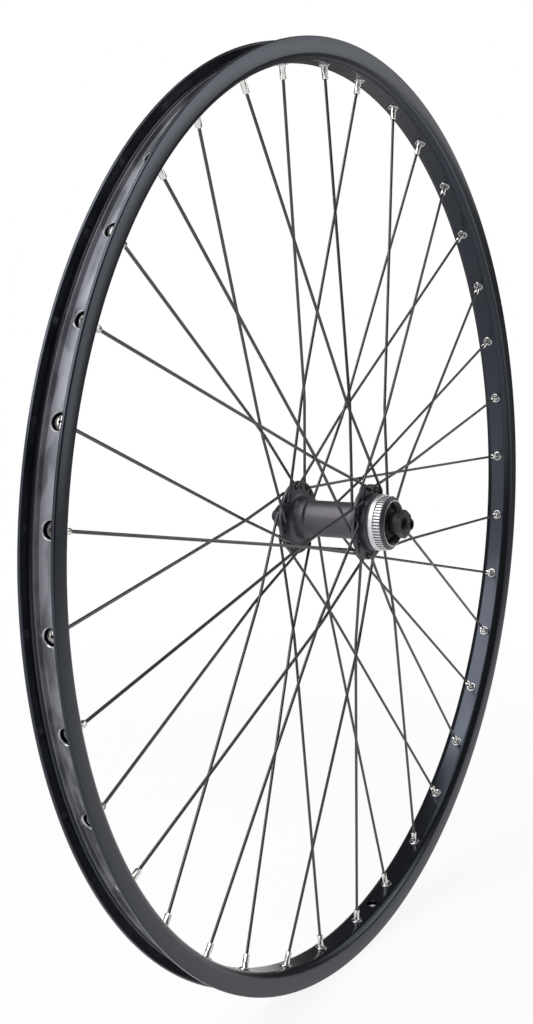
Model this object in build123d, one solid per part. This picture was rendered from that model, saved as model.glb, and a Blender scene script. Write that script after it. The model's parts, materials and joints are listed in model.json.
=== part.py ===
from build123d import *
import os
from math import cos, pi, radians, sin, sqrt

# Bicycle front wheel for a disc brake: 36 crossed spokes hold a hooked box rim on a cup and cone hub.
# All sizes are millimetres. The origin is the centre of the wheel, Y runs along the axle with the
# brake disc on the +Y side, which is the rider's left, X points forward and Z points up.

# Rim
BEAD_SEAT_DIAMETER = 622.0
RIM_CLEAR_WIDTH = 19.0        # between the two hooks
HOOK_THICKNESS = 2.4          # side wall at the rim edge, hook included
HOOK_HEIGHT = 6.6             # rim edge above the bead seat
HOOK_DEPTH = 1.7              # height of the hook's nose
SIDE_WALL = 1.5               # side wall under the hook
SIDE_TAPER = 1.4              # how far each side wall leans in towards its foot
SHELF_WIDTH = 2.8             # shelf that carries the tyre bead
SHELF_FALL = 0.3              # slope of that shelf
WELL_RAMP = 0.9               # width of the ramp from the shelf to the well
WELL_DEPTH = 3.0              # bead seat to the floor of the well
BOX_HEIGHT = 5.0              # floor of the well to the spoke bed
BOX_WALL = 1.4                # walls of the hollow box
BEVEL_WIDTH = 3.9             # bevel between the spoke bed and the side wall
BEVEL_HEIGHT = 2.5
CORNER_ROUND = 4.8            # rounding of the bevel's corners
LIP_ROUND = 0.7               # rounding of the rim edge
INNER_ROUND = 0.4             # rounding of the corners inside the tyre channel
SEAT_ROUND = 1.2              # hollow between the side wall and the bead shelf
VALVE_HOLE = 8.5
VALVE_ANGLE = 259.6           # where the valve hole stands, from forward over the top
ACCESS_HOLE = 9.6             # holes in the well that let the nipples in
ACCESS_BEVEL = 0.7            # broken edge of those holes

# Spokes, nipples and eyelets
SPOKE_COUNT = 36
CROSSINGS = 3
SPOKE_DIAMETER = 2.0
SPOKE_ELBOW_RADIUS = 2.6
SPOKE_KINK_RADIUS = 100.0     # gentle bend where two spokes press on each other
SPOKE_HEAD_DIAMETER = 3.9
SPOKE_HEAD_HEIGHT = 0.9
LACE_GAP = 0.2                # between two spokes where they cross
OUTER_ELBOW_GAP = 1.15        # spoke to flange at an elbow outside the flange
INNER_ELBOW_GAP = 0.4         # spoke to flange at an elbow inside the flange
HOLE_STAGGER = 0.45           # how far the rim holes stand to the left and right in turn
NIPPLE_DIAMETER = 4.0
NIPPLE_HEAD_DIAMETER = 6.2
NIPPLE_HEAD_HEIGHT = 0.8      # head beyond its widest point
NIPPLE_REACH = 12.4           # from the head's widest point to the end on the spoke
NIPPLE_FLATS = 3.3            # across the flats for the spoke key
NIPPLE_FLAT_LENGTH = 5.0
NIPPLE_SLOT_WIDTH = 1.2
NIPPLE_SLOT_DEPTH = 0.9
EYELET_DIAMETER = 8.0
EYELET_RING = 0.9             # height of the ring round the hole
EYELET_COLLAR = 0.9           # height of the collar inside the rim
EYELET_WALL = 0.4
EYELET_SWING = 0.75           # room for the nipple to lean with its spoke

# Hub
AXLE_SPACING = 100.0          # between the faces of the locknuts
LEFT_FLANGE_INSET = 27.7      # from the locknut's face to the middle of the flange
RIGHT_FLANGE_INSET = 15.8
FLANGE_DIAMETER = 52.0
FLANGE_THICKNESS = 3.0
FLANGE_EDGE = 1.0             # rounding of the flange's edges
SPOKE_CIRCLE = 45.0
FLANGE_HOLE = 2.6
COUNTERSINK_DEPTH = 0.85
BARREL_DIAMETER = 25.4
BARREL_BORE = 20.0
BARREL_FILLET = 2.0           # barrel to left flange
HOUSING_DIAMETER = 28.4       # swelling of the barrel next to the right bearing
HOUSING_LENGTH = 9.2
HOUSING_SLOPE = 1.2
HOUSING_EDGE = 0.7            # rounding of the slope's two ends
HOUSING_FILLET = 4.0          # housing to right flange
RIGHT_BOSS_DIAMETER = 29.6
RIGHT_BOSS_LENGTH = 2.9
RIGHT_BOSS_EDGE = 0.5
BOSS_DIAMETER = 39.8          # neck between the left flange and the disc seat
BOSS_LENGTH = 6.5
BOSS_GROOVE_WIDTH = 1.6
BOSS_GROOVE_DEPTH = 0.9
SHOULDER_DIAMETER = 38.8      # shoulder that the brake disc stands against
SHOULDER_WIDTH = 3.3
SHOULDER_EDGE = 0.25          # rounding of the shoulder's edges
SPLINE_DIAMETER = 37.2
SPLINE_DEPTH = 0.8
SPLINE_LENGTH = 5.5
SPLINE_TEETH = 54
SPLINE_GAP_SHARE = 0.45       # share of the spline's pitch that is groove
NOSE_LENGTH = 1.8             # bevelled end beyond the spline
NOSE_LIP = 0.5                # flat end face round the mouth
LOCKRING_BORE = 30.6
LOCKRING_DEPTH = 5.3

# Bearings
BALL_DIAMETER = 4.7625
BALLS_PER_SIDE = 10
BALL_CIRCLE = 17.2
RACE_GAP = 0.05               # running gap of the balls in their races
RACE_EDGE = 10.0              # how far each race wraps past the ball's middle, in degrees
RACE_WRAP = 60.0              # how far each race wraps under the ball, in degrees
CUP_DIAMETER = 25.0
CUP_WIDTH = 5.6
CUP_LIP = 0.2                 # flare of the cup's mouth
PRESS_GAP = 0.02              # pressed pieces stand this far apart
DUST_CAP_STEP = 1.1           # dust cap's seat beyond the cup's seat
DUST_CAP_DEPTH = 1.5
DUST_CAP_SHEET = 0.8
DUST_GAP = 0.6                # dust cap to cone

# Axle set
AXLE_DIAMETER = 9.0
AXLE_BORE = 5.2
AXLE_STUB = 4.0               # axle beyond each locknut's face
AXLE_CHAMFER = 0.9
THREAD_GAP = 0.05             # between the axle and what is screwed on it
CONE_FLATS = 13.0
LEFT_CONE_FLAT_LENGTH = 1.6
RIGHT_CONE_FLAT_LENGTH = 0.9
SEAL_DIAMETER = 19.6
SEAL_GAP = 0.5                # rubber seal to dust cap
SEAL_EDGE = 0.6
LEFT_SPACER_LENGTH = 4.9
RIGHT_SPACER_LENGTH = 1.2
SPACER_DIAMETER = 16.0
LEFT_NUT_FLATS = 17.0
RIGHT_NUT_FLATS = 15.0
LEFT_NUT_THICKNESS = 4.4
RIGHT_NUT_THICKNESS = 4.0
NUT_CHAMFER = 0.9

# Radii and half widths of the rim
seat_radius = BEAD_SEAT_DIAMETER / 2
edge_radius = seat_radius + HOOK_HEIGHT
well_radius = seat_radius - WELL_DEPTH
bed_radius = well_radius - BOX_HEIGHT
foot_radius = bed_radius + BEVEL_HEIGHT
hook_half = RIM_CLEAR_WIDTH / 2
edge_half = hook_half + HOOK_THICKNESS
foot_half = edge_half - SIDE_TAPER
bed_half = foot_half - BEVEL_WIDTH

# Eyelets and nipples: the nipple's head rolls about a pivot just above the eyelet
spoke_pitch = 360 / SPOKE_COUNT
head_radius = NIPPLE_HEAD_DIAMETER / 2
seat_sphere = head_radius + RACE_GAP
collar_top = bed_radius + BOX_WALL + EYELET_COLLAR
pivot_radius = collar_top + NIPPLE_HEAD_HEIGHT
eyelet_bore = NIPPLE_DIAMETER / 2 + EYELET_SWING
eyelet_tube = eyelet_bore + EYELET_WALL

# Hub stations along Y
spacing_half = AXLE_SPACING / 2
left_flange = spacing_half - LEFT_FLANGE_INSET
right_flange = RIGHT_FLANGE_INSET - spacing_half
flange_half = FLANGE_THICKNESS / 2
boss_start = left_flange + flange_half
shoulder_start = boss_start + BOSS_LENGTH
disc_seat = shoulder_start + SHOULDER_WIDTH
spline_end = disc_seat + SPLINE_LENGTH
nose_end = spline_end + NOSE_LENGTH
right_end = right_flange - flange_half - RIGHT_BOSS_LENGTH
cup_half = CUP_WIDTH / 2
left_balls = nose_end - LOCKRING_DEPTH - DUST_CAP_DEPTH - cup_half
right_balls = right_end + DUST_CAP_DEPTH + cup_half

# Bearing radii
ball_radius = BALL_DIAMETER / 2
race_radius = ball_radius + RACE_GAP
pitch_radius = BALL_CIRCLE / 2
cup_radius = CUP_DIAMETER / 2
cap_radius = cup_radius + DUST_CAP_STEP
cone_radius = pitch_radius - race_radius * cos(radians(RACE_WRAP))
thread_radius = AXLE_DIAMETER / 2 + THREAD_GAP


def turned(shape, angle):
    """The shape carried round the axle by an angle from forward (+X) over the top (+Z)."""
    return shape.rotate(Axis.Y, -angle)


def radial_pin(radius, start, end):
    """Cylinder along +X between two distances from the axle."""
    return Pos((start + end) / 2, 0, 0) * Rot(0, 90, 0) * Cylinder(radius, end - start)


def axial_ring(inner, outer, low, high):
    """Plain ring on the axle between two stations."""
    with_bore = Cylinder(outer, high - low) - Cylinder(inner, high - low)
    return Pos(0, (low + high) / 2, 0) * Rot(90, 0, 0) * with_bore


def side_half(radius):
    """Half width of the rim over its leaning side wall at a radius."""
    share = (radius - foot_radius) / (edge_radius - foot_radius)
    return foot_half + SIDE_TAPER * share


def rim_section():
    """Hollow rim section, with the radius along X and the width along Y."""
    wall_half = side_half(seat_radius) - SIDE_WALL
    shelf_half = wall_half - SHELF_WIDTH
    well_half = shelf_half - WELL_RAMP
    nose_radius = edge_radius - HOOK_DEPTH
    outline = [
        (bed_radius, bed_half, CORNER_ROUND),
        (foot_radius, foot_half, CORNER_ROUND),
        (edge_radius, edge_half, LIP_ROUND),
        (edge_radius, hook_half, LIP_ROUND),
        (nose_radius, hook_half, INNER_ROUND),
        (nose_radius - (wall_half - hook_half), wall_half, INNER_ROUND / 4),
        (seat_radius, wall_half, SEAT_ROUND),
        (seat_radius - SHELF_FALL, shelf_half, INNER_ROUND),
        (well_radius, well_half, INNER_ROUND),
    ]
    box = [
        (bed_radius, bed_half),
        (foot_radius, foot_half),
        (seat_radius, side_half(seat_radius)),
        (seat_radius - SHELF_FALL, shelf_half),
        (well_radius, well_half),
    ]
    mirrored = [(r, -y, round_) for r, y, round_ in reversed(outline)]
    loop = outline + mirrored
    points = [(r, y) for r, y, round_ in loop]
    rounds = [round_ for r, y, round_ in loop]
    solid_section = make_face(FilletPolyline(*points, radius=rounds, close=True))
    box_points = box + [(r, -y) for r, y in reversed(box)]
    box_face = make_face(Polyline(*box_points, close=True))
    return solid_section - offset(box_face, -BOX_WALL, kind=Kind.INTERSECTION)


def rim():
    """Rim with its spoke, access and valve holes."""
    ring = revolve(rim_section(), Axis.Y)
    spoke_hole = radial_pin(eyelet_tube + RACE_GAP, bed_radius - BOX_WALL, collar_top)
    access_hole = radial_pin(ACCESS_HOLE / 2, well_radius - 2 * BOX_WALL, seat_radius)
    access_hole += Pos(well_radius, 0, 0) * Rot(0, 90, 0) * Cone(
        ACCESS_HOLE / 2, ACCESS_HOLE / 2 + 2 * ACCESS_BEVEL, 2 * ACCESS_BEVEL)
    valve_hole = radial_pin(VALVE_HOLE / 2, bed_radius - BOX_WALL, seat_radius)
    cuts = [turned(valve_hole, VALVE_ANGLE)]
    for number in range(SPOKE_COUNT):
        shift = Pos(0, HOLE_STAGGER * flange_side(number), 0)
        cuts.append(turned(shift * spoke_hole, spoke_angle(number)))
        cuts.append(turned(shift * access_hole, spoke_angle(number)))
    return ring - cuts


def spoke_angle(number):
    """Angle of a rim hole, counted from the valve hole."""
    return VALVE_ANGLE + (number + 0.5) * spoke_pitch


def flange_side(number):
    """Spokes go to the left (+1) and the right (-1) flange in turn."""
    return 1 if number % 2 == 0 else -1


def spoke_lead(number):
    """Pairs of spokes lean forward (+1) and back (-1) in turn round the wheel."""
    return 1 if number % 4 < 2 else -1


def lean_angle():
    """Angle at the axle between a spoke's flange hole and its rim hole."""
    return CROSSINGS * 2 * spoke_pitch


def flange_station(side):
    """Middle of the flange on one side."""
    return left_flange if side > 0 else right_flange


def spoke_points(side, lead):
    """Head, elbow, crossing and pivot of a spoke whose rim hole lies on +X.

    Spokes that lean forward leave their flange on its outside, and the others on its inside.
    At the outermost crossing the outside spoke passes under the inside one.
    """
    hole_radius = SPOKE_CIRCLE / 2
    lean = radians(lean_angle())
    flange = flange_station(side)
    run_side = side * lead
    elbow_gap = OUTER_ELBOW_GAP if lead > 0 else INNER_ELBOW_GAP
    hole = Vector(hole_radius * cos(lean), flange, lead * hole_radius * sin(lean))
    head = hole - Vector(0, run_side * flange_half, 0)
    elbow = hole + Vector(0, run_side * (flange_half + elbow_gap + SPOKE_DIAMETER / 2), 0)
    pivot = Vector(pivot_radius, side * HOLE_STAGGER, 0)
    cross = radians(spoke_pitch)
    hub_reach = hole_radius * sin(lean - cross)
    share = hub_reach / (hub_reach + pivot_radius * sin(cross))
    crossing = hole + (pivot - hole) * share
    lift = (SPOKE_DIAMETER + LACE_GAP) / 2
    crossing = crossing - Vector(0, run_side * lift, 0)
    return head, elbow, crossing, pivot


def spoke(side, lead):
    """Spoke with a head, an elbow and a gentle bend at its outermost crossing."""
    head, elbow, crossing, pivot = spoke_points(side, lead)
    run_side = side * lead
    tip = pivot - (pivot - crossing).normalized() * NIPPLE_SLOT_DEPTH / 2
    radii = [SPOKE_ELBOW_RADIUS, SPOKE_KINK_RADIUS]
    path = FilletPolyline(head, elbow, crossing, tip, radius=radii)
    start = Plane(origin=path @ 0, z_dir=path % 0)
    wire = sweep(start * Circle(SPOKE_DIAMETER / 2), path=path)
    cap_edge = SPOKE_HEAD_DIAMETER / 2
    cone_height = cap_edge - SPOKE_DIAMETER / 2
    dome = SPOKE_HEAD_HEIGHT / 2
    profile = make_face(Polyline(
        (0, cone_height),
        (SPOKE_DIAMETER / 2, cone_height),
        (cap_edge, 0),
        (cap_edge, -dome),
        (cap_edge - dome, -SPOKE_HEAD_HEIGHT),
        (0, -SPOKE_HEAD_HEIGHT),
        close=True,
    ))
    cap = revolve(profile, Axis.Y)
    if run_side < 0:
        cap = cap.rotate(Axis.X, 180)
    return wire + Pos(head) * cap


def nipple():
    """Nipple along X with the widest point of its head at the origin and its body towards -X."""
    body_radius = NIPPLE_DIAMETER / 2
    bore_radius = SPOKE_DIAMETER / 2 + THREAD_GAP
    neck = -sqrt(head_radius**2 - body_radius**2)
    middle = radians(45)
    edge = NIPPLE_HEAD_HEIGHT / 2
    bowl = ThreePointArc(
        (neck, body_radius),
        (-head_radius * cos(middle), head_radius * sin(middle)),
        (0, head_radius),
    )
    rest = Polyline(
        (0, head_radius),
        (edge, head_radius),
        (NIPPLE_HEAD_HEIGHT, head_radius - edge),
        (NIPPLE_HEAD_HEIGHT, bore_radius),
        (-NIPPLE_REACH, bore_radius),
        (-NIPPLE_REACH, NIPPLE_FLATS / 2),
        (body_radius - NIPPLE_FLATS / 2 - NIPPLE_REACH, body_radius),
        (neck, body_radius),
    )
    body = revolve(make_face([bowl, rest]), Axis.X)
    flats = Box(NIPPLE_FLAT_LENGTH, NIPPLE_DIAMETER, NIPPLE_DIAMETER)
    flats -= Box(NIPPLE_FLAT_LENGTH, NIPPLE_FLATS, NIPPLE_FLATS)
    slot = Box(NIPPLE_SLOT_DEPTH, NIPPLE_SLOT_WIDTH, NIPPLE_HEAD_DIAMETER)
    body -= Pos(NIPPLE_FLAT_LENGTH / 2 - NIPPLE_REACH, 0, 0) * flats
    return body - Pos(NIPPLE_HEAD_HEIGHT - NIPPLE_SLOT_DEPTH / 2, 0, 0) * slot


def seated_nipple(side, lead):
    """Nipple leaning with its spoke in the rim hole on +X."""
    head, elbow, crossing, pivot = spoke_points(side, lead)
    axis = (pivot - crossing).normalized()
    return Plane(origin=pivot, x_dir=axis, z_dir=axis.cross(Vector(0, 1, 0))) * nipple()


def eyelet():
    """Eyelet in the rim hole on +X: a ring under the spoke bed, a tube and a collar with a round seat."""
    ring_radius = EYELET_DIAMETER / 2
    ring_face = bed_radius - RACE_GAP
    ring_low = ring_face - EYELET_RING
    wall_top = bed_radius + BOX_WALL + RACE_GAP
    seat_low = pivot_radius - sqrt(seat_sphere**2 - eyelet_bore**2)
    seat_top = sqrt(seat_sphere**2 - (pivot_radius - collar_top)**2)
    between = (seat_low + collar_top) / 2
    seat = ThreePointArc(
        (collar_top, seat_top),
        (between, sqrt(seat_sphere**2 - (pivot_radius - between)**2)),
        (seat_low, eyelet_bore),
    )
    rest = Polyline(
        (seat_low, eyelet_bore),
        (ring_low + EYELET_WALL, eyelet_bore),
        (ring_low, eyelet_bore + EYELET_WALL),
        (ring_low, ring_radius - EYELET_WALL),
        (ring_low + EYELET_WALL, ring_radius),
        (ring_face, ring_radius),
        (ring_face, eyelet_tube),
        (wall_top, eyelet_tube),
        (wall_top, ring_radius),
        (collar_top, ring_radius),
        (collar_top, seat_top),
    )
    return revolve(make_face([seat, rest]), Axis.X)


def hub_section():
    """Half section of the hub shell, with the radius along X and the axle along Y."""
    flange_radius = FLANGE_DIAMETER / 2
    barrel_radius = BARREL_DIAMETER / 2
    housing_radius = HOUSING_DIAMETER / 2
    right_boss_radius = RIGHT_BOSS_DIAMETER / 2
    boss_radius = BOSS_DIAMETER / 2
    groove_radius = boss_radius - BOSS_GROOVE_DEPTH
    shoulder_radius = SHOULDER_DIAMETER / 2
    spline_radius = SPLINE_DIAMETER / 2
    root_radius = spline_radius - SPLINE_DEPTH
    mouth_radius = LOCKRING_BORE / 2
    left_in = left_flange - flange_half
    right_in = right_flange + flange_half
    right_out = right_flange - flange_half
    housing_end = right_in + HOUSING_LENGTH
    outside = [
        (right_boss_radius, right_end, RIGHT_BOSS_EDGE),
        (right_boss_radius, right_out, 0),
        (flange_radius, right_out, FLANGE_EDGE),
        (flange_radius, right_in, FLANGE_EDGE),
        (housing_radius, right_in, HOUSING_FILLET),
        (housing_radius, housing_end, HOUSING_EDGE),
        (barrel_radius, housing_end + HOUSING_SLOPE, HOUSING_EDGE),
        (barrel_radius, left_in, BARREL_FILLET),
        (flange_radius, left_in, FLANGE_EDGE),
        (flange_radius, boss_start, FLANGE_EDGE),
        (boss_radius, boss_start, 0),
        (boss_radius, shoulder_start - BOSS_GROOVE_WIDTH - BOSS_GROOVE_DEPTH, 0),
        (groove_radius, shoulder_start - BOSS_GROOVE_WIDTH, 0),
        (groove_radius, shoulder_start, 0),
        (shoulder_radius, shoulder_start, SHOULDER_EDGE),
        (shoulder_radius, disc_seat, SHOULDER_EDGE),
        (spline_radius, disc_seat, 0),
        (spline_radius, spline_end - SPLINE_DEPTH, 0),
        (root_radius, spline_end, 0),
        (mouth_radius + NOSE_LIP, nose_end, 0),
    ]
    inside = [
        (mouth_radius, nose_end),
        (mouth_radius, nose_end - LOCKRING_DEPTH),
        (cap_radius, nose_end - LOCKRING_DEPTH),
        (cap_radius, left_balls + cup_half),
        (cup_radius, left_balls + cup_half),
        (cup_radius, left_balls - cup_half),
        (BARREL_BORE / 2, left_balls - cup_half),
        (BARREL_BORE / 2, right_balls + cup_half),
        (cup_radius, right_balls + cup_half),
        (cup_radius, right_balls - cup_half),
        (cap_radius, right_balls - cup_half),
        (cap_radius, right_end),
    ]
    points = [(r, y) for r, y, round_ in outside] + inside
    rounds = [round_ for r, y, round_ in outside] + [0] * len(inside)
    return make_face(FilletPolyline(*points, radius=rounds, close=True))


def hub_shell():
    """Hub shell with two flanges, the disc spline and countersunk spoke holes."""
    shell = revolve(hub_section(), Axis.Y)
    hole_radius = FLANGE_HOLE / 2
    sink = make_face(Polyline(
        (0, -flange_half),
        (hole_radius + COUNTERSINK_DEPTH, -flange_half),
        (hole_radius, COUNTERSINK_DEPTH - flange_half),
        (hole_radius, flange_half - COUNTERSINK_DEPTH),
        (hole_radius + COUNTERSINK_DEPTH, flange_half),
        (0, flange_half),
        close=True,
    ))
    flange_hole = revolve(sink, Axis.Y)
    cuts = []
    for number in range(SPOKE_COUNT):
        side = flange_side(number)
        angle = spoke_angle(number) + spoke_lead(number) * lean_angle()
        cuts.append(turned(Pos(SPOKE_CIRCLE / 2, flange_station(side), 0) * flange_hole, angle))
    spline_radius = SPLINE_DIAMETER / 2
    groove_width = 2 * pi * spline_radius / SPLINE_TEETH * SPLINE_GAP_SHARE
    groove = Pos(spline_radius, (disc_seat + spline_end) / 2, 0) * Box(
        2 * SPLINE_DEPTH, SPLINE_LENGTH, groove_width)
    for tooth in range(SPLINE_TEETH):
        cuts.append(turned(groove, tooth * 360 / SPLINE_TEETH))
    return shell - cuts


def race_point(from_centre, angle):
    """Point of a race section: the angle leans from straight up or down towards the ball's side."""
    return pitch_radius + from_centre * cos(radians(angle)), race_radius * sin(radians(angle))


def bearing_cup():
    """Pressed cup with its ball plane at Y=0 and the mouth towards +Y."""
    mouth = race_point(race_radius, RACE_EDGE)
    middle = race_point(race_radius, (RACE_EDGE - RACE_WRAP) / 2)
    throat = race_point(race_radius, -RACE_WRAP)
    race = ThreePointArc(mouth, middle, throat)
    outer = cup_radius - PRESS_GAP
    rest = Polyline(
        throat,
        (throat[0] - CUP_LIP, PRESS_GAP - cup_half),
        (outer, PRESS_GAP - cup_half),
        (outer, cup_half),
        (mouth[0] + CUP_LIP, cup_half),
        mouth,
    )
    return revolve(make_face([race, rest]), Axis.Y)


def bearing_cone(length, flat_length):
    """Screwed cone with its ball plane at Y=0, reaching out along +Y, with flats for a thin spanner."""
    low = race_point(-race_radius, -RACE_EDGE)
    middle = race_point(-race_radius, (RACE_WRAP - RACE_EDGE) / 2)
    high = race_point(-race_radius, RACE_WRAP)
    race = ThreePointArc(low, middle, high)
    rest = Polyline(
        high,
        (cone_radius, length),
        (thread_radius, length),
        (thread_radius, low[1]),
        low,
    )
    cone = revolve(make_face([race, rest]), Axis.Y)
    flat = Box(2 * cone_radius, flat_length, cone_radius)
    for way in (1, -1):
        cone -= Pos(0, length - flat_length / 2, way * (CONE_FLATS + cone_radius) / 2) * flat
    return cone


def ball_set():
    """Loose balls of one bearing round their pitch circle."""
    ball = Pos(pitch_radius, 0, 0) * Sphere(ball_radius)
    return [turned(ball, number * 360 / BALLS_PER_SIDE) for number in range(BALLS_PER_SIDE)]


def dust_cap():
    """Flanged sheet cap pressed in outside the cup, with its bearing's ball plane at Y=0."""
    low = cup_half
    high = cup_half + DUST_CAP_DEPTH
    outer = cap_radius - PRESS_GAP
    section = make_face(Polyline(
        (outer, low),
        (outer, high),
        (cone_radius + DUST_GAP, high),
        (cone_radius + DUST_GAP, high - DUST_CAP_SHEET),
        (outer - DUST_CAP_SHEET, high - DUST_CAP_SHEET),
        (outer - DUST_CAP_SHEET, low),
        close=True,
    ))
    return revolve(section, Axis.Y)


def cone_seal(end):
    """Rubber seal round the cone, from just outside the dust cap to a station from the ball plane."""
    start = cup_half + DUST_CAP_DEPTH + SEAL_GAP
    outer = SEAL_DIAMETER / 2
    section = make_face(Polyline(
        (cone_radius + PRESS_GAP, start),
        (outer, start),
        (outer, end - SEAL_EDGE),
        (outer - SEAL_EDGE, end),
        (cone_radius + PRESS_GAP, end),
        close=True,
    ))
    return revolve(section, Axis.Y)


def locknut(flats, thickness):
    """Hexagon locknut with its outer face at Y=0, chamfered on that face, with a corner at the top."""
    corner = flats / sqrt(3)
    hexagon = Rot(90, 0, 0) * extrude(RegularPolygon(corner, 6, rotation=30), thickness)
    turned_form = make_face(Polyline(
        (thread_radius, -thickness),
        (corner, -thickness),
        (corner, -NUT_CHAMFER / 2),
        (corner - NUT_CHAMFER, 0),
        (thread_radius, 0),
        close=True,
    ))
    hexagon = Pos(0, -hexagon.bounding_box().max.Y, 0) * hexagon
    return hexagon & revolve(turned_form, Axis.Y)


def axle():
    """Hollow axle for a quick release skewer, with chamfered ends."""
    radius = AXLE_DIAMETER / 2
    half = spacing_half + AXLE_STUB
    section = make_face(Polyline(
        (AXLE_BORE / 2, -half),
        (radius - AXLE_CHAMFER, -half),
        (radius, AXLE_CHAMFER - half),
        (radius, half - AXLE_CHAMFER),
        (radius - AXLE_CHAMFER, half),
        (AXLE_BORE / 2, half),
        close=True,
    ))
    return revolve(section, Axis.Y)


def on_left(shape):
    """A left bearing piece moved from its ball plane to the hub."""
    return Pos(0, left_balls, 0) * shape


def on_right(shape):
    """A right bearing piece, turned round to face out on the right."""
    return Pos(0, right_balls, 0) * shape.rotate(Axis.X, 180)


def hub_pieces():
    """Hub, bearings and axle set by name."""
    left_cone_end = spacing_half - LEFT_NUT_THICKNESS - LEFT_SPACER_LENGTH
    right_cone_end = spacing_half - RIGHT_NUT_THICKNESS - RIGHT_SPACER_LENGTH
    left_cone_length = left_cone_end - left_balls
    right_cone_length = right_cone_end + right_balls
    spacer_radius = SPACER_DIAMETER / 2
    right_nut_in = RIGHT_NUT_THICKNESS - spacing_half
    pieces = {
        "hub_shell": hub_shell(),
        "left_bearing_cup": on_left(bearing_cup()),
        "right_bearing_cup": on_right(bearing_cup()),
        "left_bearing_balls": Compound([on_left(ball) for ball in ball_set()]),
        "right_bearing_balls": Compound([on_right(ball) for ball in ball_set()]),
        "left_dust_cap": on_left(dust_cap()),
        "right_dust_cap": on_right(dust_cap()),
        "axle": axle(),
        "left_cone": on_left(bearing_cone(left_cone_length, LEFT_CONE_FLAT_LENGTH)),
        "right_cone": on_right(bearing_cone(right_cone_length, RIGHT_CONE_FLAT_LENGTH)),
        "left_cone_seal": on_left(cone_seal(left_cone_length - LEFT_CONE_FLAT_LENGTH)),
        "right_cone_seal": on_right(cone_seal(right_cone_length - RIGHT_CONE_FLAT_LENGTH)),
        "left_spacer": axial_ring(
            thread_radius, spacer_radius, left_cone_end, left_cone_end + LEFT_SPACER_LENGTH),
        "right_washer": axial_ring(
            thread_radius, spacer_radius, right_nut_in, right_nut_in + RIGHT_SPACER_LENGTH),
        "left_locknut": Pos(0, spacing_half, 0) * locknut(LEFT_NUT_FLATS, LEFT_NUT_THICKNESS),
        "right_locknut": Pos(0, -spacing_half, 0)
        * locknut(RIGHT_NUT_FLATS, RIGHT_NUT_THICKNESS).rotate(Axis.X, 180),
    }
    return pieces


def laced_pieces():
    """Rim, spokes, nipples and eyelets by name."""
    kinds = [(side, lead) for side in (1, -1) for lead in (1, -1)]
    spokes = {kind: spoke(*kind) for kind in kinds}
    nipples = {kind: seated_nipple(*kind) for kind in kinds}
    pieces = {"rim": rim()}
    nipple_group = []
    eyelet_group = []
    for number in range(SPOKE_COUNT):
        side = flange_side(number)
        kind = (side, spoke_lead(number))
        angle = spoke_angle(number)
        side_name = "left" if side > 0 else "right"
        pieces[f"spoke_{side_name}_{number // 2 + 1:02d}"] = turned(spokes[kind], angle)
        nipple_group.append(turned(nipples[kind], angle))
        eyelet_group.append(turned(Pos(0, side * HOLE_STAGGER, 0) * eyelet(), angle))
    pieces["spoke_nipples"] = Compound(nipple_group)
    pieces["rim_eyelets"] = Compound(eyelet_group)
    return pieces


os.makedirs("parts", exist_ok=True)
for name, piece in {**laced_pieces(), **hub_pieces()}.items():
    export_step(piece, f"parts/{name}.step")
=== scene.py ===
# %% [markdown]
# # A spoked bicycle front wheel
# The solids come from the CAD model as a fixed frame: rim, spokes, nipples, hub and axle are already in
# their true places, in metres. This lesson gives each of them its finish, adds the fine turned and
# threaded detail, and sets up a plain studio.

# %% Load the frame
import bpy
import bmesh
import json
import math
from mathutils import Matrix, Vector

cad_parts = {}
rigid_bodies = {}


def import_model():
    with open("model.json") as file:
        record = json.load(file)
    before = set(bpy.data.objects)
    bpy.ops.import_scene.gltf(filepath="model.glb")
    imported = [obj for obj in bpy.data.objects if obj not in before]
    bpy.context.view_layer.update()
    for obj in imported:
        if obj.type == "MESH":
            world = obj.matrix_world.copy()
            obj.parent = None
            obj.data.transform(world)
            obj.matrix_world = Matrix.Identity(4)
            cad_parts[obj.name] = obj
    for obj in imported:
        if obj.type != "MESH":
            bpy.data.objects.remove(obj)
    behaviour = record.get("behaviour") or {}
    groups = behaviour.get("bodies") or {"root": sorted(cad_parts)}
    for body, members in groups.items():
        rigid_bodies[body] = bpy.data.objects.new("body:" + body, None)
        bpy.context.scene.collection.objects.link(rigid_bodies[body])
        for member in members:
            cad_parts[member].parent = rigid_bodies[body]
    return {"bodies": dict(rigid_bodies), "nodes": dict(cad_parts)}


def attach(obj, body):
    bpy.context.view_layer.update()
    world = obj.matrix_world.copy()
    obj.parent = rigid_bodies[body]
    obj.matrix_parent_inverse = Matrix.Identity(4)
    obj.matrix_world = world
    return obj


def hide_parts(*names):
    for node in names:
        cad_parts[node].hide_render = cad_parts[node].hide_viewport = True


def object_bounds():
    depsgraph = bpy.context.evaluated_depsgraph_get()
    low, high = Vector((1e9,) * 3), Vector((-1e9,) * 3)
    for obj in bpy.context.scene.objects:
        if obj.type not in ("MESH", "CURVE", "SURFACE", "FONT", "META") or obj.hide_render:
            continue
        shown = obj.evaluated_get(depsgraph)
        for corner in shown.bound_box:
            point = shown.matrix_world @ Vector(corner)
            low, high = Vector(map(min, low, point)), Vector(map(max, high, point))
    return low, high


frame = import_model()
cad_low, cad_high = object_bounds()
print("CAD box in mm:", [round(v * 1000, 1) for v in cad_high - cad_low])

# %% [markdown]
# ## Smooth copies of the CAD pieces
# A CAD mesh arrives as loose flat triangles, so a round tube shows its facets. A copy with its doubles
# merged can be shaded smoothly, and edges sharper than a set angle stay crisp. The copy stands for its
# node and rides on the same body, and the node itself is left as it is. The rim and the axle wait for
# their own cells, because they are made anew with finer detail.

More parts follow.
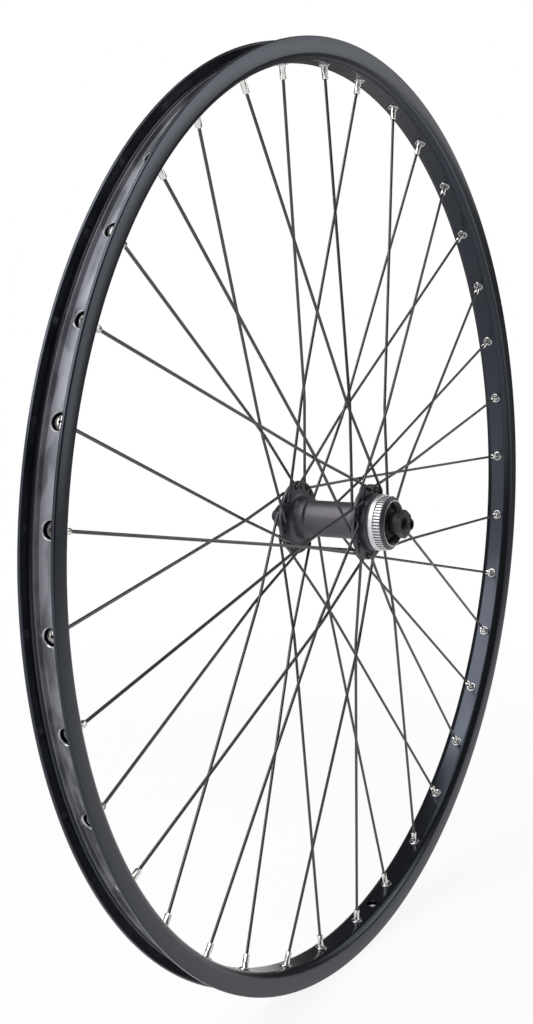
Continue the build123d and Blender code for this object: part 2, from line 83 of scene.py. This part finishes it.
# %% Smooth copies
MERGE_DISTANCE = 1e-6
CRISP_ANGLE, ROUNDED_ANGLE = 28.0, 50.0
SMALL_ROUND_NODES = ("rim_eyelets", "spoke_nipples")
MADE_ANEW = ("rim", "axle")
BODY_OF = {}
for body, empty in frame["bodies"].items():
    for child in empty.children:
        BODY_OF[child.name] = body


def piece_from(mesh, name, body, sharp_degrees=CRISP_ANGLE):
    """A smoothly shaded piece on a body, with its sharper edges kept crisp."""
    work = bmesh.new()
    work.from_mesh(mesh)
    bmesh.ops.remove_doubles(work, verts=work.verts, dist=MERGE_DISTANCE)
    for face in work.faces:
        face.smooth = True
    for edge in work.edges:
        edge.smooth = len(edge.link_faces) == 2 and edge.calc_face_angle() < math.radians(sharp_degrees)
    work.to_mesh(mesh)
    work.free()
    mesh.name = name
    mesh.materials.clear()
    piece = bpy.data.objects.new(name, mesh)
    bpy.context.scene.collection.objects.link(piece)
    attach(piece, body)
    return piece


shown = {}
for node in frame["nodes"]:
    if node not in MADE_ANEW:
        sharp = ROUNDED_ANGLE if node in SMALL_ROUND_NODES else CRISP_ANGLE
        shown[node] = piece_from(frame["nodes"][node].data.copy(), node + "_finished", BODY_OF[node], sharp)
        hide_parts(node)
print("smooth copies:", len(shown))

# %% [markdown]
# ## A smoother hoop for the rim
# The rim is the largest piece and its edges are seen against white, so the CAD mesh's steps of almost
# three degrees would show there. Its section is drawn again as one flat face whose corners are rounded
# with a vertex bevel. Spinning the outline round the axle in fine steps gives a closed hoop.

# %% Hoop of the rim
HOOP_STEPS, CORNER_STEPS = 288, 5
BED, FOOT, WELL, SEAT, EDGE = 0.3030, 0.3055, 0.3080, 0.3110, 0.3176
BED_HALF, FOOT_HALF, EDGE_HALF = 0.0066, 0.0105, 0.0119
HOOK_HALF, HOOK_DEPTH, UNDERCUT = 0.0095, 0.0017, 0.00014
WALL_HALF, SHELF_HALF, WELL_HALF, SHELF_DROP = HOOK_HALF + UNDERCUT, 0.00684, 0.00594, 0.0003
CORNER_ROUND, SEAT_ROUND, EDGE_ROUND, SMALL_ROUND, UNDERCUT_ROUND = 0.0048, 0.0012, 0.0007, 0.0004, 0.0001
HALF_SECTION = [
    (BED, BED_HALF, CORNER_ROUND), (FOOT, FOOT_HALF, CORNER_ROUND),
    (EDGE, EDGE_HALF, EDGE_ROUND), (EDGE, HOOK_HALF, EDGE_ROUND), (EDGE - HOOK_DEPTH, HOOK_HALF, SMALL_ROUND),
    (EDGE - HOOK_DEPTH - UNDERCUT, WALL_HALF, UNDERCUT_ROUND), (SEAT, WALL_HALF, SEAT_ROUND),
    (SEAT - SHELF_DROP, SHELF_HALF, SMALL_ROUND), (WELL, WELL_HALF, SMALL_ROUND)]


def section_face(work, half):
    """A flat face from half a section of (radius, place across) points and its mirror image."""
    points = half + [(radius, -across) for radius, across in reversed(half)]
    return work.faces.new([work.verts.new((radius, across, 0)) for radius, across in points])


def round_corner(work, corner, size):
    """Rounds one corner of a flat outline to a radius."""
    first, second = (edge.other_vert(corner).co - corner.co for edge in corner.link_edges)
    bmesh.ops.bevel(work, geom=[corner], offset=size / math.tan(first.angle(second) / 2),
                    segments=CORNER_STEPS, profile=0.5, affect="VERTICES", material=-1)


def closed_mesh(work, name):
    """Merges doubles, turns the faces outwards and gives the mesh."""
    bmesh.ops.remove_doubles(work, verts=work.verts, dist=MERGE_DISTANCE / 10)
    bmesh.ops.recalc_face_normals(work, faces=work.faces)
    mesh = bpy.data.meshes.new(name)
    work.to_mesh(mesh)
    work.free()
    return mesh


def hoop_mesh(work, name):
    """Spins the outline of a flat section round the axle."""
    bmesh.ops.delete(work, geom=work.faces[:], context="FACES_ONLY")
    bmesh.ops.spin(work, geom=work.verts[:] + work.edges[:], cent=(0, 0, 0), axis=(0, 1, 0),
                   angle=math.tau, steps=HOOP_STEPS, use_merge=True)
    return closed_mesh(work, name)


work = bmesh.new()
corners = section_face(work, [(radius, across) for radius, across, size in HALF_SECTION]).verts[:]
sizes = [size for radius, across, size in HALF_SECTION]
for corner, size in zip(corners, sizes + sizes[::-1]):
    round_corner(work, corner, size)
solid_hoop = hoop_mesh(work, "solid_hoop")
print("hoop faces:", len(solid_hoop.polygons))

# %% [markdown]
# ## Hollow and holes of the rim
# Inside, the rim is a hollow box, and each spoke has a small hole in the inner wall and a wide one with a
# broken edge in the well, which lets the nipple in. The hollow is the box's outline inset by the wall and
# spun. The drills are turned outlines, aimed at each place round the hoop.

# %% Hollow and drills
BOX_WALL, SEAT_HALF = 0.0014, 0.01114
HALF_BOX = [(BED, BED_HALF), (FOOT, FOOT_HALF), (SEAT, SEAT_HALF), (SEAT - SHELF_DROP, SHELF_HALF),
            (WELL, WELL_HALF)]
VALVE_ANGLE, SPOKE_COUNT, STAGGER = 259.6, 36, 0.00045
SPOKE_HOLE, ACCESS_HOLE, ACCESS_BEVEL, VALVE_HOLE = 0.0032, 0.0048, 0.0007, 0.00425
CUT_UNDER, CUT_OVER, DRILL_STEPS = 0.002, 0.0012, 32
HOLE_FOOT, HOLE_TOP = BED - CUT_UNDER, WELL + CUT_OVER
work = bmesh.new()
box = section_face(work, HALF_BOX)
work.normal_update()
bmesh.ops.inset_individual(work, faces=[box], thickness=BOX_WALL, use_even_offset=True)
bmesh.ops.delete(work, geom=[vert for vert in work.verts if vert not in box.verts[:]], context="VERTS")
hollow = hoop_mesh(work, "hollow")


def drill(outline):
    """A turned cutter from an outline of (radius, station) points that starts and ends on the axle."""
    work = bmesh.new()
    corners = [work.verts.new((radius, station, 0)) for radius, station in outline]
    edges = [work.edges.new(pair) for pair in zip(corners, corners[1:])]
    bmesh.ops.spin(work, geom=corners + edges, cent=(0, 0, 0), axis=(0, 1, 0), angle=math.tau,
                   steps=DRILL_STEPS, use_merge=True)
    return closed_mesh(work, "drill")


def aimed(mesh, angle, across):
    """A copy of a cutter turned to a place round the hoop."""
    copy = mesh.copy()
    turn = Matrix.Rotation(-math.radians(angle), 4, "Y") @ Matrix.Rotation(-math.pi / 2, 4, "Z")
    copy.transform(Matrix.Translation((0, across, 0)) @ turn)
    return copy


spoke_drill = drill([(0, HOLE_FOOT), (SPOKE_HOLE, HOLE_FOOT), (SPOKE_HOLE, FOOT), (ACCESS_HOLE, FOOT),
                     (ACCESS_HOLE, WELL - ACCESS_BEVEL), (ACCESS_HOLE + ACCESS_BEVEL + CUT_OVER, HOLE_TOP),
                     (0, HOLE_TOP)])
valve_drill = drill([(0, HOLE_FOOT), (VALVE_HOLE, HOLE_FOOT), (VALVE_HOLE, HOLE_TOP), (0, HOLE_TOP)])
work = bmesh.new()
work.from_mesh(aimed(valve_drill, VALVE_ANGLE, 0))
for number in range(SPOKE_COUNT):
    side = 1 if number % 2 == 0 else -1
    work.from_mesh(aimed(spoke_drill, VALVE_ANGLE + (number + 0.5) * 360 / SPOKE_COUNT, side * STAGGER))
drills = closed_mesh(work, "drills")
print("drill faces:", len(drills.polygons))

# %% [markdown]
# ## Cut the rim
# Two boolean cuts take the hollow and the holes out of the hoop. The cut mesh becomes the rim that stands
# for the CAD node, and the blank and the cutters are thrown away.

# %% Cut the rim
blank = bpy.data.objects.new("rim_blank", solid_hoop)
bpy.context.scene.collection.objects.link(blank)
cutters = [bpy.data.objects.new(mesh.name, mesh) for mesh in (hollow, drills)]
for cutter in cutters:
    bpy.context.scene.collection.objects.link(cutter)
    cut = blank.modifiers.new(cutter.name, "BOOLEAN")
    cut.operation = "DIFFERENCE"
    cut.solver = "MANIFOLD"
    cut.object = cutter
cut_mesh = bpy.data.meshes.new_from_object(blank.evaluated_get(bpy.context.evaluated_depsgraph_get()))
for scrap in cutters + [blank]:
    bpy.data.objects.remove(scrap)
shown["rim"] = piece_from(cut_mesh, "fine_rim", BODY_OF["rim"])
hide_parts("rim")
print("rim faces:", len(cut_mesh.polygons))

# %% [markdown]
# ## Threads
# The axle's ends and the mouth of the hub carry fine threads with a pitch of one millimetre. A thread is
# a small triangle that turns round the axle and moves along it by one pitch each turn, which is what the
# spin operator does when it is also given a step along its axis. The axle gets a thinner core under its
# thread, made by spinning its outline.

# %% Threads
THREAD_PITCH, THREAD_CREST, THREAD_FOOT, TURN_STEPS = 0.001, 0.45, 0.9, 64
AXLE_RADIUS, AXLE_CORE, AXLE_BORE = 0.0045, 0.0040, 0.0026
MOUTH_RADIUS, MOUTH_CREST, MOUTH_THREAD, MOUTH_RELIEF = 0.0153, 0.01487, 0.0050, 0.0002
SHOULDER_DEPTH, SHOULDER_SLOPE, END_CHAMFER, ROOT_OVERLAP = 0.0012, 0.0005, 0.0004, 0.0001
axle_end = frame["nodes"]["axle"].bound_box[6][1]
nut_face = frame["nodes"]["left_locknut"].bound_box[6][1]
mouth_end = frame["nodes"]["hub_shell"].bound_box[6][1]


def spun_loop(work, outline, turns=1.0, climb=0.0):
    """Spins a closed outline of (radius, station) points about the axle, climbing along it."""
    corners = [work.verts.new((radius, station, 0)) for radius, station in outline]
    edges = [work.edges.new((a, b)) for a, b in zip(corners, corners[1:] + corners[:1])]
    whole = turns == 1.0 and climb == 0.0
    bmesh.ops.spin(work, geom=corners + edges, cent=(0, 0, 0), axis=(0, 1, 0),
                   dvec=(0, climb / TURN_STEPS, 0), angle=math.tau * turns,
                   steps=round(TURN_STEPS * turns), use_merge=whole)
    if not whole:
        bmesh.ops.holes_fill(work, edges=[e for e in work.edges if len(e.link_faces) == 1], sides=0)


def thread(work, root, crest, low, high):
    """A helical ridge between two stations."""
    turns = (high - low) / THREAD_PITCH - 1
    ridge = [(root, low), (crest, low + THREAD_PITCH * THREAD_CREST), (root, low + THREAD_PITCH * THREAD_FOOT)]
    spun_loop(work, ridge, turns=turns, climb=THREAD_PITCH)


shoulder = nut_face - SHOULDER_DEPTH
core_end = axle_end - (AXLE_RADIUS - AXLE_CORE)
half_outline = [(AXLE_RADIUS, shoulder - SHOULDER_SLOPE), (AXLE_CORE, shoulder), (AXLE_CORE, core_end),
                (AXLE_CORE - END_CHAMFER, axle_end), (AXLE_BORE, axle_end)]
other_half = [(radius, -station) for radius, station in reversed(half_outline)]
work = bmesh.new()
thread(work, AXLE_CORE - ROOT_OVERLAP, AXLE_RADIUS, shoulder + ROOT_OVERLAP, core_end)
copied = bmesh.ops.duplicate(work, geom=work.verts[:] + work.edges[:] + work.faces[:])["geom"]
far_thread = [part for part in copied if isinstance(part, bmesh.types.BMVert)]
bmesh.ops.rotate(work, verts=far_thread, cent=(0, 0, 0), matrix=Matrix.Rotation(math.pi, 3, "X"))
spun_loop(work, half_outline + other_half)
shown["axle"] = piece_from(closed_mesh(work, "axle"), "threaded_axle", BODY_OF["axle"])
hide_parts("axle")

work = bmesh.new()
thread(work, MOUTH_RADIUS + ROOT_OVERLAP, MOUTH_CREST, mouth_end - MOUTH_THREAD, mouth_end - MOUTH_RELIEF)
mouth_thread = piece_from(closed_mesh(work, "thread"), "lockring_thread", BODY_OF["hub_shell"])
print("threads made, axle faces:", len(shown["axle"].data.polygons))

# %% [markdown]
# ## Helpers for materials
# Colours are written as sRGB hex values, as a colour picker gives them, and turned to the linear values
# that Blender's shaders use. One small function adds a node, its settings and its links. Four more give
# names to the steps that come up again and again: noise, a ramp, a blend of colours and a product.

# %% Material helpers
def linear(hex_code):
    """Linear RGBA from an sRGB hex code."""
    parts = [int(hex_code[i:i + 2], 16) / 255 for i in (1, 3, 5)]
    return [p / 12.92 if p <= 0.04045 else ((p + 0.055) / 1.055) ** 2.4 for p in parts] + [1.0]


def add(tree, kind, sockets=None, **settings):
    """Adds a node: settings are its properties, sockets are values or links for its inputs."""
    made = tree.nodes.new(kind)
    for name, value in settings.items():
        setattr(made, name, value)
    for socket, value in (sockets or {}).items():
        if isinstance(value, bpy.types.NodeSocket):
            tree.links.new(value, made.inputs[socket])
        else:
            made.inputs[socket].default_value = value
    return made


def noise(tree, place, scale, detail=2.0):
    """Cloudy values between 0 and 1; scale is clouds per metre."""
    return add(tree, "ShaderNodeTexNoise", {"Vector": place, "Scale": scale, "Detail": detail}).outputs["Fac"]


def ramp(tree, value, start=0.0, stop=1.0, low=0.0, high=1.0):
    """Goes from low to high as a value goes from start to stop."""
    return add(tree, "ShaderNodeMapRange", {0: value, 1: start, 2: stop, 3: low, 4: high}).outputs[0]


def blend(tree, share, first, second):
    """A colour between two, by a share of the second."""
    return add(tree, "ShaderNodeMix", {0: share, 6: first, 7: second}, data_type="RGBA").outputs[2]


def product(tree, first, *others):
    """Values multiplied one after another."""
    for factor in others:
        first = add(tree, "ShaderNodeMath", {0: first, 1: factor}, operation="MULTIPLY").outputs[0]
    return first


def new_material(name):
    """An empty material with its shader and the Object coordinates of the piece."""
    material = bpy.data.materials.new(name)
    material.use_nodes = True
    tree = material.node_tree
    shader = tree.nodes["Principled BSDF"]
    place = tree.nodes.new("ShaderNodeTexCoord").outputs["Object"]
    return material, tree, shader, place


def show_through(tree, shader, **inputs):
    """Links or sets the shader's inputs, with underscores for the spaces in their names."""
    for name, value in inputs.items():
        socket = shader.inputs[name.replace("_", " ")]
        if isinstance(value, bpy.types.NodeSocket):
            tree.links.new(value, socket)
        else:
            socket.default_value = value


def finish(pieces, material):
    """Gives pieces their material."""
    for piece in pieces:
        piece.data.materials.clear()
        piece.data.materials.append(material)


# %% [markdown]
# ## Black anodised rim
# The rim is an extruded aluminium bar, rolled to a hoop and anodised black. The dye leaves a blue-black
# with a soft sheen. Rim tape has left a blotchy grey film on the floor of the tyre channel and a trace of
# it on the shelves. The broken edges of the holes in the floor get a thin near-white ring, a painted
# highlight. All of this is masked by the radius from the axle and the place across the rim, so it
# stays in the channel.

# %% Anodised rim
FILM_SCALE = (38.0, 110.0, 1.0)
IN_CHANNEL, IN_MIDDLE = (0.3066, 0.3072), (0.0072, 0.0067)
OVER_SHELF, ON_SHELF = (0.3102, 0.3105), (0.0093, 0.0071)
UNDER_FLOOR, OVER_HOLE_WALL = (0.30795, 0.30785), (0.3072, 0.3074)


def ring_place(tree, place):
    """Radius from the axle, distance round the hoop at the well and the place along the axle, in metres."""
    split = add(tree, "ShaderNodeSeparateXYZ", {0: place})
    flat = add(tree, "ShaderNodeCombineXYZ", {"X": split.outputs["X"], "Z": split.outputs["Z"]})
    radius = add(tree, "ShaderNodeVectorMath", {0: flat.outputs[0]}, operation="LENGTH").outputs["Value"]
    angle = add(tree, "ShaderNodeMath", {0: split.outputs["Z"], 1: split.outputs["X"]}, operation="ARCTAN2")
    return radius, product(tree, angle.outputs[0], WELL), split.outputs["Y"]


rim_black, tree, shader, place = new_material("black_anodised_aluminium")
radius, round_hoop, across = ring_place(tree, place)
half_width = add(tree, "ShaderNodeMath", {0: across}, operation="ABSOLUTE").outputs[0]
film_place = add(tree, "ShaderNodeCombineXYZ", {"X": round_hoop, "Y": across}).outputs[0]
film_place = add(tree, "ShaderNodeMapping", {"Vector": film_place, "Scale": FILM_SCALE}).outputs[0]
film = add(tree, "ShaderNodeTexNoise", {"Vector": film_place, "Scale": 1.0, "Detail": 2.0, "Roughness": 0.45})
blotch = ramp(tree, film.outputs["Fac"], 0.44, 0.56, 0.5, 1.0)
in_middle = ramp(tree, half_width, *IN_MIDDLE)
floor_film = product(tree, ramp(tree, radius, *IN_CHANNEL), in_middle, blotch)
shelf_film = ramp(tree, half_width, *ON_SHELF, 0.0, 0.3)
mask = add(tree, "ShaderNodeMath", {0: ramp(tree, radius, *OVER_SHELF), 1: shelf_film, 2: floor_film},
           operation="MULTIPLY_ADD", use_clamp=True).outputs[0]
# Painted highlight: a thin near-white ring on the broken edges of the holes in the floor.
painted_edge_highlight = product(tree, ramp(tree, radius, *UNDER_FLOOR), ramp(tree, radius, *OVER_HOLE_WALL), in_middle)
cloud = noise(tree, place, 9.0, 3.0)
tint = blend(tree, cloud, linear("#303338"), linear("#383c45"))
colour = blend(tree, mask, tint, linear("#8c8d95"))
colour = blend(tree, painted_edge_highlight, colour, linear("#d2d3d8"))
rough = add(tree, "ShaderNodeMath", {0: mask, 1: 0.2, 2: ramp(tree, cloud, low=0.19, high=0.26)},
            operation="MULTIPLY_ADD").outputs[0]
show_through(tree, shader, Base_Color=colour, Roughness=rough, Metallic=ramp(tree, mask, low=0.85, high=0.3))
finish([shown["rim"]], rim_black)
print("rim finished")

# %% [markdown]
# ## A metal with a fine grain
# Most of the other pieces are plain metals. Under a lens, drawn wire, plating and ground steel all vary a
# little in colour and gloss, and that is what keeps them from looking like plastic. One function makes
# such a metal from a darker and a lighter colour, a smoother and a duller gloss and the size of the grain.

# %% Grained metal
def grained(name, colours, metallic, gloss, grains, detail=2.0):
    """A metal whose colour and roughness vary finely; grains is how many of them lie in a metre."""
    material, tree, shader, place = new_material(name)
    grain = noise(tree, place, grains, detail)
    show_through(tree, shader, Base_Color=blend(tree, grain, linear(colours[0]), linear(colours[1])),
                 Roughness=ramp(tree, grain, low=gloss[0], high=gloss[1]), Metallic=metallic)
    return material


# %% [markdown]
# ## Black spokes
# The spokes are drawn stainless wire with a black oxide skin. Each one is a thin mirror bent into a
# tube, so it shows a dark core and a soft grey line of light along it. A fine noise along the wire
# breaks that line a little, as the drawing marks do.

# %% Black oxide spokes
spoke_black = grained("black_oxide_stainless_wire", ("#434447", "#5d5e62"), 0.75, (0.24, 0.36), 900.0)
finish([shown[n] for n in shown if n.startswith(("spoke_left", "spoke_right"))], spoke_black)
print("spokes finished")

# %% [markdown]
# ## Bright nipples and eyelets
# Nipples are turned from brass and nickel plated, a warm bright metal. Eyelets are pressed steel with a
# colder, greyer plating. Both are full metals, so nearly all that they show is a reflection.

# %% Nickel and plated steel
nickel = grained("nickel_plated_brass", ("#d4d3cf", "#f0efec"), 1.0, (0.16, 0.30), 700.0)
plated = grained("bright_plated_steel", ("#a3a4a7", "#cbccd0"), 1.0, (0.14, 0.28), 500.0)
finish([shown["spoke_nipples"]], nickel)
finish([shown["rim_eyelets"]], plated)
print("nipples and eyelets finished")

# %% [markdown]
# ## Hub shell
# The shell is forged aluminium with a satin black skin. The shoulder of the brake disc seat and the tips
# of its teeth are bare metal with fine rings from the lathe. Inside the radius of the grooves the shell is
# left black, so the grooves between the teeth show as dark lines. The mask for the bare metal is a stretch
# along the axle, outside the radius of the grooves. The lip of the mouth is bare too.

# %% Satin black hub with a bare disc seat
DISC_SEAT_START, DISC_SEAT_END, LIP_START, GROOVE_RADIUS = 0.03025, 0.03885, 0.04085, 0.0182
GRAINS, LATHE_RINGS = 1400.0, 2600.0
hub_black, tree, shader, place = new_material("satin_black_and_bare_aluminium")
radius, round_hoop, along = ring_place(tree, place)
lathe = add(tree, "ShaderNodeCombineXYZ", {"Y": along}).outputs[0]
black = blend(tree, noise(tree, place, GRAINS), linear("#4a474d"), linear("#5a565d"))
silver = blend(tree, noise(tree, lathe, LATHE_RINGS, 1.0), linear("#dcdde0"), linear("#f4f4f6"))
past_start = add(tree, "ShaderNodeMath", {0: along, 1: DISC_SEAT_START}, operation="GREATER_THAN").outputs[0]
before_end = add(tree, "ShaderNodeMath", {0: along, 1: DISC_SEAT_END}, operation="LESS_THAN").outputs[0]
outside = add(tree, "ShaderNodeMath", {0: radius, 1: GROOVE_RADIUS}, operation="GREATER_THAN").outputs[0]
on_lip = add(tree, "ShaderNodeMath", {0: along, 1: LIP_START}, operation="GREATER_THAN").outputs[0]
bare = add(tree, "ShaderNodeMath", {0: product(tree, past_start, before_end, outside), 1: on_lip},
           operation="MAXIMUM").outputs[0]
show_through(tree, shader, Base_Color=blend(tree, bare, black, silver),
             Roughness=ramp(tree, bare, low=0.42, high=0.44), Metallic=ramp(tree, bare, low=0.6, high=1.0))
finish([shown["hub_shell"], mouth_thread], hub_black)
print("hub finished")

# %% [markdown]
# ## Steel and rubber of the axle
# The axle, locknuts, spacer and washer are dark plated steel, the cones are ground, the cups and balls
# polished bearing steel, and the dust caps dark pressed sheet. The seals are matt rubber: no metal at
# all, so they only show a dull dark skin.

# %% Axle finishes
axle_dark = grained("dark_plated_steel", ("#2a2a2c", "#454547"), 0.7, (0.3, 0.46), 1000 / 1.5, 3.0)
cone_ground = grained("ground_cone_steel", ("#77787b", "#9a9b9e"), 1.0, (0.22, 0.36), 1000 / 0.8, 3.0)
polished = grained("polished_bearing_steel", ("#a9aaad", "#cfd0d2"), 1.0, (0.08, 0.18), 1000 / 0.8, 3.0)
sheet_dark = grained("dark_pressed_sheet_steel", ("#3a3a3d", "#55565a"), 0.8, (0.34, 0.5), 1000 / 1.2, 3.0)
rubber = grained("matt_black_rubber", ("#0c0c0d", "#171718"), 0.0, (0.6, 0.8), 1000 / 0.6, 3.0)
finish([shown[n] for n in ("axle", "left_locknut", "right_locknut", "left_spacer", "right_washer")],
       axle_dark)
finish([shown["left_cone"], shown["right_cone"]], cone_ground)
finish([shown[n] for n in ("left_bearing_cup", "right_bearing_cup", "left_bearing_balls",
                           "right_bearing_balls")], polished)
finish([shown["left_dust_cap"], shown["right_dust_cap"]], sheet_dark)
finish([shown["left_cone_seal"], shown["right_cone_seal"]], rubber)
print("axle set finished")

# %% [markdown]
# ## Floor and room
# The wheel stands on a pale floor in a white room. The floor is seen almost edge on, so to the camera it
# fades to plain white away from the wheel and only keeps the soft shadow near it. Black metal shows little
# but reflections, and in them the floor glows as a painted reflection: white on the disc side close to the
# wheel, dimmer further off and on the other side.

# %% Floor and world
FLOOR_RADIUS, FLOOR_GAP = 6.0, 0.0002
SHADOW_FADE, MIRROR_FADE, DISC_SIDE = (0.5, 1.2), (0.6, 2.2), (-0.15, 0.0)
ROOM_LEVEL = 0.1
WHITE = (1, 1, 1, 1)
work = bmesh.new()
bmesh.ops.create_circle(work, cap_ends=True, segments=96, radius=FLOOR_RADIUS)
bmesh.ops.translate(work, verts=work.verts, vec=(0, 0, cad_low.z - FLOOR_GAP))
floor_mesh = bpy.data.meshes.new("studio_floor")
work.to_mesh(floor_mesh)
work.free()
floor = bpy.data.objects.new("studio_floor", floor_mesh)
bpy.context.scene.collection.objects.link(floor)

paper, tree, shader, place = new_material("white_studio_paper")
show_through(tree, shader, Base_Color=linear("#f4f4f4"), Roughness=0.9)
away = add(tree, "ShaderNodeVectorMath", {0: place}, operation="LENGTH").outputs["Value"]
path = add(tree, "ShaderNodeLightPath").outputs
seen = product(tree, path["Is Camera Ray"], ramp(tree, away, *SHADOW_FADE, 0.9, 1.0))
beside = add(tree, "ShaderNodeSeparateXYZ", {0: place}).outputs["Y"]
# Painted reflection: in glossy rays the floor glows white by this share, strongest on the disc side near the
# wheel.
painted_reflection = product(tree, ramp(tree, away, *MIRROR_FADE, 0.95, 0.1), ramp(tree, beside, *DISC_SIDE, 0.05, 1.0))
plain = add(tree, "ShaderNodeMath", {0: path["Is Glossy Ray"], 1: painted_reflection, 2: seen},
            operation="MULTIPLY_ADD", use_clamp=True)
glow = add(tree, "ShaderNodeEmission", {"Color": WHITE, "Strength": 1.0})
mixed = add(tree, "ShaderNodeMixShader", {0: plain.outputs[0], 1: shader.outputs[0], 2: glow.outputs[0]})
tree.links.new(mixed.outputs[0], tree.nodes["Material Output"].inputs["Surface"])
floor.data.materials.append(paper)

world = bpy.data.worlds.new("white_room")
bpy.context.scene.world = world
world.use_nodes = True
tree = world.node_tree
background = tree.nodes["Background"]
background.inputs["Color"].default_value = WHITE
path = add(tree, "ShaderNodeLightPath").outputs
tree.links.new(ramp(tree, path["Is Camera Ray"], low=ROOM_LEVEL, high=1.0), background.inputs["Strength"])
print("floor and room set")

# %% [markdown]
# ## Lamps
# Five soft lamps stand round the wheel. The key at the upper left lights the hub and the tyre channel,
# with a weaker one below it to fill. One overhead brightens the tops. Two on the right stand behind the
# wheel, where the flat wall that faces the camera mirrors them. A lamp's power is worked out from how
# bright its face should look, so a lamp can change its size and keep its look in a reflection.

# %% Lamps
def lamp(name, place, width, height, brightness):
    """A soft lamp that looks at the hub; brightness is how bright its face looks, where 1 is white."""
    light = bpy.data.lights.new(name, "AREA")
    light.shape = "RECTANGLE"
    light.size = width
    light.size_y = height
    light.energy = brightness * math.pi * width * height
    holder = bpy.data.objects.new(name, light)
    holder.location = place
    holder.rotation_euler = (-Vector(place)).to_track_quat("-Z", "Y").to_euler()
    bpy.context.scene.collection.objects.link(holder)


lamp("key_lamp", (0.92, -0.62, 1.05), 1.4, 1.4, 4.0)
lamp("front_lamp", (1.30, -0.55, 0.10), 1.0, 0.9, 1.25)
lamp("top_lamp", (0.2, -0.1, 1.6), 1.2, 1.2, 2.0)
lamp("side_lamp", (-1.28, 0.80, 0.80), 1.2, 0.9, 1.2)
lamp("low_side_lamp", (-0.85, 0.72, 0.20), 0.28, 0.6, 1.8)
print("lamps:", len(bpy.data.lights))

# %% [markdown]
# ## Camera
# The camera was matched to the photograph: it stands nearly level with the axle, well round to the disc
# side and close, so the hoop shows strong perspective. Its place is given by a direction from the wheel,
# a distance and a small sideways shift of the wheel in the picture.

# %% Camera
AZIMUTH, ELEVATION = math.radians(121.07), math.radians(6.10)
DISTANCE, SIDEWAYS, UPWARDS = 0.88603, 0.051811, -0.005516
SENSOR, FOCAL_PIXELS, PICTURE_PIXELS = 36.0, 1270.53, 1024
back = Vector((math.sin(AZIMUTH) * math.cos(ELEVATION), -math.cos(AZIMUTH) * math.cos(ELEVATION),
               math.sin(ELEVATION)))
right = Vector((math.cos(AZIMUTH), math.sin(AZIMUTH), 0))
up = back.cross(right)
camera_data = bpy.data.cameras.new("camera")
camera_data.sensor_width = SENSOR
camera_data.lens = FOCAL_PIXELS / PICTURE_PIXELS * SENSOR
camera_data.clip_start = 0.05
camera = bpy.data.objects.new("camera", camera_data)
stand = back * DISTANCE - right * SIDEWAYS - up * UPWARDS
camera.matrix_world = Matrix.Translation(stand) @ Matrix((right, up, back)).transposed().to_4x4()
bpy.context.scene.collection.objects.link(camera)
bpy.context.scene.camera = camera
bpy.context.scene.view_settings.view_transform = "Standard"
print("camera at", [round(v, 3) for v in stand])
